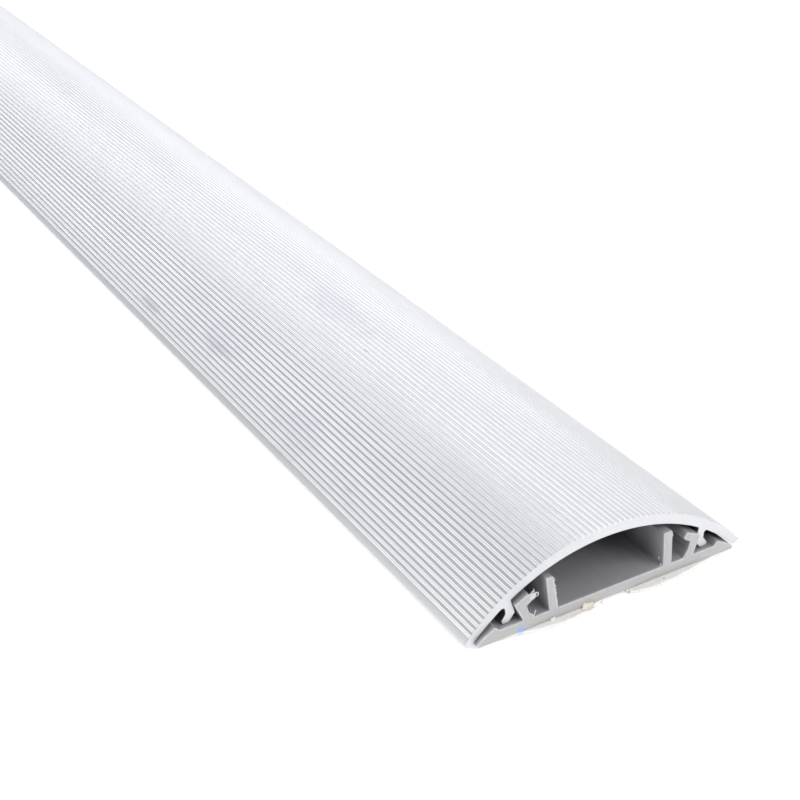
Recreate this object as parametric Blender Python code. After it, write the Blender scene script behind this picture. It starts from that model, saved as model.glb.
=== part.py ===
"""Low arched floor trunking for cables, one two-metre length.

A ridged aluminium cover clips over a flat plastic base with two dividing walls,
and two strips of adhesive tape with their liners still on lie under the base.
X runs across the trunking, Y along it and Z up, with the floor at Z = 0.
The end at -Y is the sawn one, where the base stands a little proud of the cover.
"""

import math

import bpy
from mathutils import Vector

MM = 0.001

# Length of the stock, and how far the base stands out of the cover at the sawn end
COVER_LENGTH = 2000.0 * MM
BASE_PROUD = 1.2 * MM

# Clearance kept between neighbouring pieces
GAP = 0.3 * MM

# Adhesive tape strips, with their liners
TAPE_THICKNESS = 0.7 * MM
TAPE_END_POINTS = 14

# Each tape's sides, and its hand-cut end: how far the corners stand out of the base,
# the bulge between them, and how far that bulge leans to one side
LEFT_TAPE_EDGES = (-30.0 * MM, -1.4 * MM)
LEFT_TAPE_CORNERS = (-1.0 * MM, -0.6 * MM)
LEFT_TAPE_BULGE = 2.7 * MM
LEFT_TAPE_SKEW = 1.3
RIGHT_TAPE_EDGES = (4.6 * MM, 31.6 * MM)
RIGHT_TAPE_CORNERS = (0.1 * MM, -0.4 * MM)
RIGHT_TAPE_BULGE = 2.1 * MM
RIGHT_TAPE_SKEW = 0.6

# Base: heights are above the floor
BASE_BOTTOM = TAPE_THICKNESS + GAP
PLATE_THICKNESS = 2.6 * MM
PLATE_TOP = BASE_BOTTOM + PLATE_THICKNESS
BASE_HALF_WIDTH = 34.75 * MM
BASE_EDGE_HEIGHT = 0.75 * MM
WEDGE_TIP_X = 33.95 * MM
WEDGE_TIP_HEIGHT = 1.55 * MM
WEDGE_CREST_X = 30.2 * MM
WEDGE_CREST_HEIGHT = 3.7 * MM
WEDGE_FOOT_X = 29.1 * MM

# Base: the clip that holds the cover's hook, from its root on the plate to its lip
CLIP_ROOT_OUTER_X = 23.1 * MM
CLIP_ROOT_INNER_X = 21.3 * MM
CLIP_SHOULDER_X = 24.85 * MM
CLIP_SHOULDER_HEIGHT = 7.35 * MM
CLIP_CREST_X = 21.5 * MM
CLIP_CREST_HEIGHT = 9.1 * MM
LIP_TIP_X = 20.1 * MM
LIP_TOP_HEIGHT = 9.0 * MM
LIP_BOTTOM_HEIGHT = 8.0 * MM
LIP_CORNER_X = 22.3 * MM
LIP_CORNER_HEIGHT = 6.45 * MM

# Base: the two dividing walls. The left one leans out, the right one has a bead
WALL_TOP_HEIGHT = 11.35 * MM
LEFT_WALL_ROOT = (14.0 * MM, 16.5 * MM)
LEFT_WALL_TOP = (14.95 * MM, 17.25 * MM)
RIGHT_WALL_ROOT = (14.75 * MM, 17.05 * MM)
RIGHT_WALL_TOP = (14.75 * MM, 17.05 * MM)
BEAD_HEIGHT = 10.15 * MM
BEAD_HALF_LENGTH = 0.5 * MM
BEAD_DEPTH = 0.3 * MM

# Cover: its inner arc, the outer arc at the bottom of the grooves, and the tips
COVER_HALF_WIDTH = 37.6 * MM
INNER_RADIUS = 48.95 * MM
INNER_CENTRE_Z = -32.25 * MM
GROOVE_RADIUS = 49.6 * MM
OUTER_CENTRE_Z = -30.5 * MM
TIP_SIDE_HEIGHT = 2.15 * MM
TIP_BOTTOM_OUTER_X = 36.9 * MM
TIP_BOTTOM_HEIGHT = 1.25 * MM

# Cover: the lengthwise ridges on its outer arc
RIDGE_COUNT = 57
RIDGE_PITCH = 1.4393 * MM
RIDGE_WIDTH = 0.9 * MM
RIDGE_HEIGHT = 0.36 * MM
RIDGE_FLANK = 0.06 * MM
RIDGE_CHAMFER = 0.09 * MM
INNER_ARC_STEP = math.radians(2.0)

# Cover: the hook that snaps under the base's clip, heights above the floor
HOOK_NECK_OUTER_X = 27.15 * MM
HOOK_NECK_INNER_X = 25.5 * MM
HOOK_WAIST_X = 26.9 * MM
HOOK_WAIST_HEIGHT = 6.3 * MM
HOOK_TOE_OUTER_X = 28.0 * MM
HOOK_TOE_HEIGHT = 4.75 * MM
HOOK_TOE_BOTTOM = PLATE_TOP + GAP
HOOK_TOE_BOTTOM_X = 27.6 * MM
HOOK_TOE_INNER_X = 26.1 * MM
HOOK_BARB_X = 24.5 * MM
HOOK_BARB_HEIGHT = 5.9 * MM
HOOK_FILLET_ROOM = 1.2 * MM

# Colour, metallic value and roughness of each piece
COVER_LOOK = ((0.80, 0.80, 0.83), 1.0, 0.42)
BASE_LOOK = ((0.48, 0.48, 0.50), 0.0, 0.50)
TAPE_LOOK = ((0.80, 0.77, 0.70), 0.0, 0.70)

ARC_STEP = math.radians(18.0)


def rounded(corners):
    """Return the outline of a polygon whose corners (x, z, radius) are rounded.

    Each rounding is the arc that touches both edges at the corner, and a radius
    of zero leaves the corner sharp.
    """
    points = []
    count = len(corners)
    for index, (x, z, radius) in enumerate(corners):
        corner = Vector((x, z))
        if radius <= 0.0:
            points.append(corner)
            continue
        before = Vector(corners[index - 1][:2]) - corner
        after = Vector(corners[(index + 1) % count][:2]) - corner
        half_angle = before.angle(after) / 2.0
        middle = (before.normalized() + after.normalized()).normalized()
        centre = corner + middle * (radius / math.sin(half_angle))
        setback = radius / math.tan(half_angle)
        start = corner + before.normalized() * setback - centre
        sweep = start.angle_signed(corner + after.normalized() * setback - centre)
        steps = max(2, math.ceil(abs(sweep) / ARC_STEP))
        for step in range(steps + 1):
            turn = -sweep * step / steps
            points.append(centre + Vector((
                start.x * math.cos(turn) - start.y * math.sin(turn),
                start.x * math.sin(turn) + start.y * math.cos(turn),
            )))
    return points


def mirrored(corners):
    """Return the corners of the other side, in the order that keeps the outline running on."""
    return [(-x, z, radius) for x, z, radius in reversed(corners)]


def wall_corners(root, top, bead):
    """Return one dividing wall's corners at +X, from its outer root over the top."""
    root_inner, root_outer = root
    top_inner, top_outer = top
    height = BASE_BOTTOM + BEAD_HEIGHT
    bump = []
    if bead:
        bump = [
            (top_outer, height - BEAD_HALF_LENGTH, 0.0),
            (top_outer + BEAD_DEPTH, height, 0.15 * MM),
            (top_outer, height + BEAD_HALF_LENGTH, 0.0),
        ]
    return [
        (root_outer, PLATE_TOP, 0.35 * MM),
        *bump,
        (top_outer, BASE_BOTTOM + WALL_TOP_HEIGHT, 0.2 * MM),
        (top_inner, BASE_BOTTOM + WALL_TOP_HEIGHT, 0.2 * MM),
        (root_inner, PLATE_TOP, 0.5 * MM),
    ]


def edge_corners():
    """Return the base's corners at +X from the underside to the clip's inner root."""
    return [
        (BASE_HALF_WIDTH, BASE_BOTTOM, 0.25 * MM),
        (BASE_HALF_WIDTH, BASE_BOTTOM + BASE_EDGE_HEIGHT, 0.2 * MM),
        (WEDGE_TIP_X, BASE_BOTTOM + WEDGE_TIP_HEIGHT, 0.2 * MM),
        (WEDGE_CREST_X, BASE_BOTTOM + WEDGE_CREST_HEIGHT, 0.3 * MM),
        (WEDGE_FOOT_X, PLATE_TOP, 0.25 * MM),
        (CLIP_ROOT_OUTER_X, PLATE_TOP, 0.3 * MM),
        (CLIP_SHOULDER_X, BASE_BOTTOM + CLIP_SHOULDER_HEIGHT, 0.35 * MM),
        (CLIP_CREST_X, BASE_BOTTOM + CLIP_CREST_HEIGHT, 0.4 * MM),
        (LIP_TIP_X, BASE_BOTTOM + LIP_TOP_HEIGHT, 0.3 * MM),
        (LIP_TIP_X, BASE_BOTTOM + LIP_BOTTOM_HEIGHT, 0.3 * MM),
        (LIP_CORNER_X, BASE_BOTTOM + LIP_CORNER_HEIGHT, 0.25 * MM),
        (CLIP_ROOT_INNER_X, PLATE_TOP, 1.0 * MM),
    ]


def base_outline():
    """Return the base's section: plate, edge wedges, clips and dividing walls."""
    right = edge_corners() + wall_corners(RIGHT_WALL_ROOT, RIGHT_WALL_TOP, True)
    left = edge_corners() + wall_corners(LEFT_WALL_ROOT, LEFT_WALL_TOP, False)
    return rounded(right + mirrored(left))


def on_arc(radius, centre_z, angle):
    """Return the point of an arc about the centre line, at an angle from straight up."""
    return Vector((radius * math.sin(angle), centre_z + radius * math.cos(angle)))


def ridge_points():
    """Return the cover's ridged outer arc from +X to -X.

    Each ridge has steep flanks and a small chamfer along both of its top edges.
    """
    shape = [
        (RIDGE_WIDTH / 2.0, 0.0),
        (RIDGE_WIDTH / 2.0 - RIDGE_FLANK, RIDGE_HEIGHT - RIDGE_CHAMFER),
        (RIDGE_WIDTH / 2.0 - RIDGE_FLANK - RIDGE_CHAMFER, RIDGE_HEIGHT),
    ]
    shape += [(-along, rise) for along, rise in reversed(shape)]
    points = []
    for index in range(RIDGE_COUNT):
        centre = ((RIDGE_COUNT - 1) / 2.0 - index) * RIDGE_PITCH
        for along, rise in shape:
            angle = (centre + along) / (GROOVE_RADIUS + RIDGE_HEIGHT)
            points.append(on_arc(GROOVE_RADIUS + rise, OUTER_CENTRE_Z, angle))
    return points


def hook_corners():
    """Return the cover's hook at +X, from its outer neck round the toe to its inner neck."""
    neck_outer = math.asin(HOOK_NECK_OUTER_X / INNER_RADIUS)
    neck_inner = math.asin(HOOK_NECK_INNER_X / INNER_RADIUS)
    above_outer = on_arc(INNER_RADIUS, INNER_CENTRE_Z, neck_outer)
    above_inner = on_arc(INNER_RADIUS, INNER_CENTRE_Z, neck_inner)
    return [
        (above_outer.x, above_outer.y, 0.6 * MM),
        (HOOK_WAIST_X, HOOK_WAIST_HEIGHT, 0.8 * MM),
        (HOOK_TOE_OUTER_X, HOOK_TOE_HEIGHT, 0.4 * MM),
        (HOOK_TOE_BOTTOM_X, HOOK_TOE_BOTTOM, 0.5 * MM),
        (HOOK_TOE_INNER_X, HOOK_TOE_BOTTOM, 0.5 * MM),
        (HOOK_BARB_X, HOOK_BARB_HEIGHT, 0.4 * MM),
        (above_inner.x, above_inner.y, 0.3 * MM),
    ]


def inner_points():
    """Return the cover's underside from -X to +X: three stretches of arc and two hooks."""
    edge = math.acos((TIP_BOTTOM_HEIGHT - INNER_CENTRE_Z) / INNER_RADIUS)
    outside = math.asin(HOOK_NECK_OUTER_X / INNER_RADIUS) + HOOK_FILLET_ROOM / INNER_RADIUS
    inside = math.asin(HOOK_NECK_INNER_X / INNER_RADIUS) - HOOK_FILLET_ROOM / INNER_RADIUS

    def arc(start, end):
        steps = math.ceil((end - start) / INNER_ARC_STEP)
        angles = [start + (end - start) * step / steps for step in range(steps + 1)]
        spots = [on_arc(INNER_RADIUS, INNER_CENTRE_Z, angle) for angle in angles]
        return [(spot.x, spot.y, 0.0) for spot in spots]

    right_hook = hook_corners()[::-1]
    left_hook = mirrored(right_hook)
    return arc(-edge, -outside) + left_hook + arc(-inside, inside) + right_hook + arc(outside, edge)


def cover_outline():
    """Return the cover's section: ridged arc, blunt tips, underside and hooks."""
    top = [(point.x, point.y, 0.0) for point in ridge_points()]
    right_tip = [
        (TIP_BOTTOM_OUTER_X, TIP_BOTTOM_HEIGHT, 0.3 * MM),
        (COVER_HALF_WIDTH, TIP_SIDE_HEIGHT, 0.3 * MM),
    ]
    return rounded(top + mirrored(right_tip) + inner_points() + right_tip)


def tape_reach(ends, bulge, skew, share):
    """Return how far a tape stands out of the base's end, at a share of its width.

    The end was cut by hand: a straight line between the two corner values, with a
    bulge on it whose peak is moved sideways by the skew.
    """
    start, finish = ends
    straight = start + (finish - start) * share
    return straight + bulge * math.sin(math.pi * share ** skew)


def tape_outline(edges, ends, bulge, skew):
    """Return a tape's plan, with Y = 0 at the base's sawn end and the far end square."""
    left, right = edges
    cut = []
    for step in range(TAPE_END_POINTS + 1):
        share = step / TAPE_END_POINTS
        cut.append(Vector((left + (right - left) * share, -tape_reach(ends, bulge, skew, share))))
    far = COVER_LENGTH + BASE_PROUD
    return cut + [Vector((right, far)), Vector((left, far))]


def add_extrusion(name, outline, depth, look, collection):
    """Add an outline in the object's own XY plane, extruded by half the depth each way."""
    curve = bpy.data.curves.new(name, "CURVE")
    curve.dimensions = "2D"
    curve.fill_mode = "BOTH"
    curve.extrude = depth / 2.0
    spline = curve.splines.new("POLY")
    spline.points.add(len(outline) - 1)
    for point, spot in zip(spline.points, outline):
        point.co = (spot.x, spot.y, 0.0, 1.0)
    spline.use_cyclic_u = True
    curve.materials.append(make_material(name, look))
    extrusion = bpy.data.objects.new(name, curve)
    collection.objects.link(extrusion)
    return extrusion


def make_material(name, look):
    """Return a Principled material with the piece's colour, metallic value and roughness."""
    colour, metallic, roughness = look
    material = bpy.data.materials.new(name)
    material.use_nodes = True
    shader = material.node_tree.nodes["Principled BSDF"]
    shader.inputs["Base Color"].default_value = (*colour, 1.0)
    shader.inputs["Metallic"].default_value = metallic
    shader.inputs["Roughness"].default_value = roughness
    material.diffuse_color = (*colour, 1.0)
    return material


def clear_scene():
    """Remove every object that the scene starts with."""
    for item in list(bpy.data.objects):
        bpy.data.objects.remove(item, do_unlink=True)


def build():
    """Build the trunking with its whole length centred on the origin."""
    clear_scene()
    collection = bpy.data.collections.new("cable_trunking")
    bpy.context.scene.collection.children.link(collection)

    tapes = {
        "tape_left": tape_outline(LEFT_TAPE_EDGES, LEFT_TAPE_CORNERS, LEFT_TAPE_BULGE, LEFT_TAPE_SKEW),
        "tape_right": tape_outline(
            RIGHT_TAPE_EDGES, RIGHT_TAPE_CORNERS, RIGHT_TAPE_BULGE, RIGHT_TAPE_SKEW
        ),
    }
    nearest = min(point.y for outline in tapes.values() for point in outline)
    far_end = (COVER_LENGTH + BASE_PROUD - nearest) / 2.0
    base_end = far_end - COVER_LENGTH - BASE_PROUD

    cover = add_extrusion("cover", cover_outline(), COVER_LENGTH, COVER_LOOK, collection)
    cover.location = (0.0, far_end - COVER_LENGTH / 2.0, 0.0)
    cover.rotation_euler = (math.radians(90.0), 0.0, 0.0)

    base_length = COVER_LENGTH + BASE_PROUD
    base = add_extrusion("base", base_outline(), base_length, BASE_LOOK, collection)
    base.location = (0.0, far_end - base_length / 2.0, 0.0)
    base.rotation_euler = (math.radians(90.0), 0.0, 0.0)

    for name, outline in tapes.items():
        tape = add_extrusion(name, outline, TAPE_THICKNESS, TAPE_LOOK, collection)
        tape.location = (0.0, base_end, TAPE_THICKNESS / 2.0)


build()
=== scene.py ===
"""Looks of a low arched floor trunking for cables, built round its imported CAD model.

A ridged aluminium cover clips over a grey plastic base with two dividing walls, and two
strips of adhesive tape with their liners lie under the base. X runs across the trunking,
Y along it and Z up, with the floor at Z = 0. The sawn end, with its saw burrs and torn
tape, faces -Y.
"""

import logging
import math
from dataclasses import dataclass
from enum import Enum, IntEnum

import bmesh
import bpy
import numpy as np
from mathutils import Euler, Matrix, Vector


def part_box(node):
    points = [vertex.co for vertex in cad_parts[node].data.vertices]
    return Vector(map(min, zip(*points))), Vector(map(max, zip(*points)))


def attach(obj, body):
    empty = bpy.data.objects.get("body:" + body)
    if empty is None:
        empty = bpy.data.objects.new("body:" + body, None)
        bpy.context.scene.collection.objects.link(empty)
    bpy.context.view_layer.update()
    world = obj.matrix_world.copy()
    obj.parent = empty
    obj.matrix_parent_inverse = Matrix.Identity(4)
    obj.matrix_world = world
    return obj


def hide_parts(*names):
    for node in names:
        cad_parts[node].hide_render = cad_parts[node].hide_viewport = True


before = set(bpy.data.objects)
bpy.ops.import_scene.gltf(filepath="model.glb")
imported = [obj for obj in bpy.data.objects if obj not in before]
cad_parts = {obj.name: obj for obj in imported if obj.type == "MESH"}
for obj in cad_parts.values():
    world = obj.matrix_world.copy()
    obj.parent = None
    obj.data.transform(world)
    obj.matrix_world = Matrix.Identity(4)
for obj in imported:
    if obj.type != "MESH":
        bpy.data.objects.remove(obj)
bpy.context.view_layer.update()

LOG = logging.getLogger("cable_trunking")

MM = 0.001
TAU = 2.0 * math.pi

Pair = tuple[float, float]
Triple = tuple[float, float, float]
Colour = Triple
Socket = bpy.types.NodeSocket

# Degrees past which an edge is shaded sharp, on cut pieces and on torn ones
CUT_SHARP = 38.0
TORN_SHARP = 60.0


class Slot(Enum):
    """The record's material slots."""

    COVER = "cover"
    BASE = "base"
    TAPE = "tape"


class Face(IntEnum):
    """Which of a piece's two finishes a face has."""

    DRAWN = 0
    SAWN = 1


# Outlines and surfaces as whole arrays


def scaled(numbers: Triple, factor: float) -> Triple:
    """Return three numbers, each times the factor."""
    return tuple(number * factor for number in numbers)


def unit(vectors: np.ndarray) -> np.ndarray:
    """Return the vectors along the last axis, each divided by its own length."""
    lengths = np.linalg.norm(vectors, axis=-1, keepdims=True)
    return vectors / np.maximum(lengths, 1e-12)


def smooth_step(low: float, high: float, values: np.ndarray) -> np.ndarray:
    """Return 0 below low, 1 above high and the cubic 3t^2 - 2t^3 of the share between."""
    share = np.clip((values - low) / (high - low), 0.0, 1.0)
    return share * share * (3.0 - 2.0 * share)


def ripple(across: np.ndarray, along: np.ndarray | float, wavelength: float, seed: int) -> np.ndarray:
    """Return a smooth random field whose usual size is one.

    It is the sum of sine waves that run in seeded directions, with wavelengths from half
    to twice the given one and seeded phases, divided by the root of half their count.

    Args:
        across: first coordinate of each place, in metres.
        along: second coordinate of each place, in metres.
        wavelength: middle wavelength, in metres.
        seed: seed of the directions, wavelengths and phases.

    Returns:
        The field's value at each place.
    """
    random = np.random.default_rng(seed)
    count = 16
    turns = random.uniform(0.0, TAU, count)
    lengths = wavelength * 2.0 ** random.uniform(-1.0, 1.0, count)
    phases = random.uniform(0.0, TAU, count)
    first = np.asarray(across)[..., None] * np.cos(turns)
    second = np.asarray(along)[..., None] * np.sin(turns)
    return np.sin(TAU * (first + second) / lengths + phases).sum(-1) / math.sqrt(count / 2)


def rounded(corners: np.ndarray, steps: int = 5) -> np.ndarray:
    """Return a closed outline whose corners are replaced by arcs.

    At each corner the arc's centre lies on the corner's bisector at radius divided by the
    sine of half the corner's angle, and the arc runs between the feet of the two edges.

    Args:
        corners: rows of x, z and rounding radius, anticlockwise.
        steps: number of chords in each arc.

    Returns:
        Rows of x and z, with repeated points left out.
    """
    spots, radii = corners[:, :2], corners[:, 2:]
    before = unit(np.roll(spots, 1, axis=0) - spots)
    after = unit(np.roll(spots, -1, axis=0) - spots)
    half = 0.5 * np.arccos(np.clip((before * after).sum(1, keepdims=True), -1.0, 1.0))
    half = np.clip(half, 1e-4, math.pi / 2 - 1e-9)
    centres = spots + unit(before + after) * radii / np.sin(half)
    starts = spots + before * radii / np.tan(half) - centres
    ends = spots + after * radii / np.tan(half) - centres
    crossing = starts[:, 0] * ends[:, 1] - starts[:, 1] * ends[:, 0]
    sweeps = np.arctan2(crossing, (starts * ends).sum(1))
    turns = sweeps[:, None] * np.linspace(0.0, 1.0, steps + 1)
    cosines, sines = np.cos(turns), np.sin(turns)
    x = centres[:, :1] + starts[:, :1] * cosines - starts[:, 1:] * sines
    z = centres[:, 1:] + starts[:, :1] * sines + starts[:, 1:] * cosines
    points = np.stack([x, z], axis=-1).reshape(-1, 2)
    moved = np.linalg.norm(points - np.roll(points, 1, axis=0), axis=1)
    return points[moved > 1e-7]


def mirrored(corners: np.ndarray) -> np.ndarray:
    """Return the corners of the -X side, in the order that keeps the outline running on."""
    return corners[::-1] * np.array([-1.0, 1.0, 1.0])


def subdivided(outline: np.ndarray, spacing: float) -> np.ndarray:
    """Return a closed outline with points put in, so that no edge is longer than spacing."""
    steps = np.roll(outline, -1, axis=0) - outline
    counts = np.ceil(np.linalg.norm(steps, axis=1) / spacing).astype(int)
    owner = np.repeat(np.arange(len(outline)), counts)
    rank = np.arange(counts.sum()) - np.repeat(np.cumsum(counts) - counts, counts)
    return outline[owner] + steps[owner] * (rank / counts[owner])[:, None]


def outward(outline: np.ndarray) -> np.ndarray:
    """Return each point's outward unit normal on a closed anticlockwise outline."""
    tangent = unit(np.roll(outline, -1, axis=0) - np.roll(outline, 1, axis=0))
    return np.stack([tangent[:, 1], -tangent[:, 0]], axis=1)


def arc(radius: np.ndarray | float, centre_z: float, angles: np.ndarray) -> np.ndarray:
    """Return x and z on an arc about the centre line, at angles from straight up."""
    return np.stack([radius * np.sin(angles), centre_z + radius * np.cos(angles)], axis=-1)


def bezier(controls: list[Triple], count: int) -> np.ndarray:
    """Return points of the Bezier curve: the controls weighted by Bernstein polynomials."""
    share = np.linspace(0.0, 1.0, count)[:, None]
    order = len(controls) - 1
    return sum(
        math.comb(order, i) * share**i * (1.0 - share) ** (order - i) * np.array(spot)
        for i, spot in enumerate(controls)
    )


def carried(outline: np.ndarray, places: np.ndarray, push: np.ndarray) -> np.ndarray:
    """Carry an outline along Y.

    Each ring is the outline at its own Y, with every point moved along the outline's
    normal by the ring's own push.

    Args:
        outline: rows of x and z.
        places: the Y of each ring.
        push: how far each ring's points move outwards, one row a ring.

    Returns:
        Points by ring and by place on the outline.
    """
    flat = outline[None] + outward(outline)[None] * push[..., None]
    depth = np.broadcast_to(places[:, None], flat.shape[:2])
    return np.stack([flat[..., 0], depth, flat[..., 1]], axis=-1)


def tube(path: np.ndarray, wide: np.ndarray, thin: np.ndarray, sides: int) -> np.ndarray:
    """Return the rings of an elliptic tube along a path that lies mostly in the XZ plane.

    Round each path point the ring is wide times the cosine along the direction square to
    the path in the XZ plane, plus thin times the sine along the one square to both.
    """
    tangent = unit(np.gradient(path, axis=0))
    beside = unit(np.cross(tangent, np.array([0.0, 1.0, 0.0])))
    across = np.cross(tangent, beside)
    turns = np.arange(sides) * TAU / sides
    first = beside[:, None] * np.cos(turns)[:, None] * wide[:, None, None]
    second = across[:, None] * np.sin(turns)[:, None] * thin[:, None, None]
    return path[:, None] + first + second


class Surface:
    """The vertices and faces of one piece, gathered as arrays before they become a mesh."""

    def __init__(self) -> None:
        """Start with no points and no faces."""
        self.points: list[np.ndarray] = []
        self.painted_light_and_wear: list[np.ndarray] = []
        self.corners: list[np.ndarray] = []
        self.sizes: list[np.ndarray] = []
        self.finishes: list[np.ndarray] = []
        self.count = 0

    def _add_points(self, points: np.ndarray, painted_light_and_wear: np.ndarray | float = 0.0) -> np.ndarray:
        """Add a grid of points with their painted shade, highlight and rim whitening values, and return
        the grid of their indices.
        """
        shape = points.shape[:-1]
        index = self.count + np.arange(math.prod(shape)).reshape(shape)
        self.points.append(points.reshape(-1, 3))
        self.painted_light_and_wear.append(np.broadcast_to(painted_light_and_wear, shape).reshape(-1))
        self.count += index.size
        return index

    def _add_faces(self, faces: np.ndarray, finish: Face) -> None:
        """Add faces of equal size, one row of vertex indices a face."""
        self.corners.append(faces.reshape(-1))
        self.sizes.append(np.full(len(faces), faces.shape[1]))
        self.finishes.append(np.full(len(faces), int(finish)))

    def add_rings(
        self,
        rings: np.ndarray,
        painted_light_and_wear: np.ndarray | float = 0.0,
        near_cap: Face = Face.DRAWN,
        loop: bool = False,
    ) -> None:
        """Join closed rings by quads, and close the two ends with one face each.

        Args:
            rings: points by ring and by place round the ring.
            painted_light_and_wear: painted shade, highlight and rim whitening of each point, of each
                place round a ring, or of all.
            near_cap: finish of the face that closes the first ring.
            loop: join the last ring to the first one instead of closing the ends.
        """
        index = self._add_points(rings, painted_light_and_wear)
        here = index if loop else index[:-1]
        ahead = np.roll(index, -1, axis=0) if loop else index[1:]
        quads = [here, ahead, np.roll(ahead, -1, axis=1), np.roll(here, -1, axis=1)]
        self._add_faces(np.stack(quads, axis=-1).reshape(-1, 4), Face.DRAWN)
        if not loop:
            self._add_faces(index[:1], near_cap)
            self._add_faces(index[-1:, ::-1], Face.DRAWN)

    def add_slab(self, top: np.ndarray, bottom: np.ndarray) -> None:
        """Close the space between two grids of the same shape, the first one on top."""
        rims = []
        for grid, order in ((top, 1), (bottom, -1)):
            index = self._add_points(grid)
            quads = [index[:-1, :-1], index[:-1, 1:], index[1:, 1:], index[1:, :-1]]
            self._add_faces(np.stack(quads, axis=-1).reshape(-1, 4)[:, ::order], Face.DRAWN)
            sides = [index[0, :-1], index[:-1, -1], index[-1, :0:-1], index[:0:-1, 0]]
            rims.append(np.concatenate(sides))
        upper, lower = rims
        quads = [upper, lower, np.roll(lower, -1), np.roll(upper, -1)]
        self._add_faces(np.stack(quads, axis=-1), Face.DRAWN)

    def to_object(
        self, name: str, materials: list[bpy.types.Material], sharp_degrees: float = CUT_SHARP
    ) -> bpy.types.Object:
        """Put the arrays into a mesh object at the origin, with faces turned outwards.

        Args:
            name: the piece's name.
            materials: its finishes, in the order of Face.
            sharp_degrees: an edge that turns more than this is shaded sharp.

        Returns:
            The new object, linked to the scene.
        """
        mesh = bpy.data.meshes.new(name)
        sizes = np.concatenate(self.sizes)
        mesh.vertices.add(self.count)
        mesh.loops.add(int(sizes.sum()))
        mesh.polygons.add(len(sizes))
        mesh.vertices.foreach_set("co", np.concatenate(self.points).astype(np.float32).ravel())
        corners = np.concatenate(self.corners).astype(np.int32)
        mesh.loops.foreach_set("vertex_index", corners)
        starts = (np.cumsum(sizes) - sizes).astype(np.int32)
        mesh.polygons.foreach_set("loop_start", starts)
        finishes = np.concatenate(self.finishes).astype(np.int32)
        mesh.polygons.foreach_set("material_index", finishes)
        mesh.polygons.foreach_set("use_smooth", np.ones(len(sizes), bool))
        # Per point: painted shade and painted highlights on the cover, and torn whitening with a painted
        # highlight on the base's rim
        painted_light_and_wear = mesh.attributes.new("painted_light_and_wear", "FLOAT", "POINT")
        painted_light_and_wear.data.foreach_set("value", np.concatenate(self.painted_light_and_wear).astype(np.float32))
        mesh.update(calc_edges=True)
        turned = bmesh.new()
        turned.from_mesh(mesh)
        bmesh.ops.recalc_face_normals(turned, faces=turned.faces)
        turned.to_mesh(mesh)
        turned.free()
        mesh.set_sharp_from_angle(angle=math.radians(sharp_degrees))
        for material in materials:
            mesh.materials.append(material)
        made = bpy.data.objects.new(name, mesh)
        bpy.context.scene.collection.objects.link(made)
        return made


# Finishes


# Where most of a noise's values lie
NOISE_SPAN = (0.3, 0.7)

# Radius in mm along Y of a mark that runs right through the piece
THROUGH = 5000.0


@dataclass(frozen=True)
class Mark:
    """A ragged ellipsoid of a tint on a finish, with its centre, radii and grain in mm."""

    tint: Colour
    strength: float
    centre: Triple
    radii: Triple
    ragged: float
    grain: float


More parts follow.
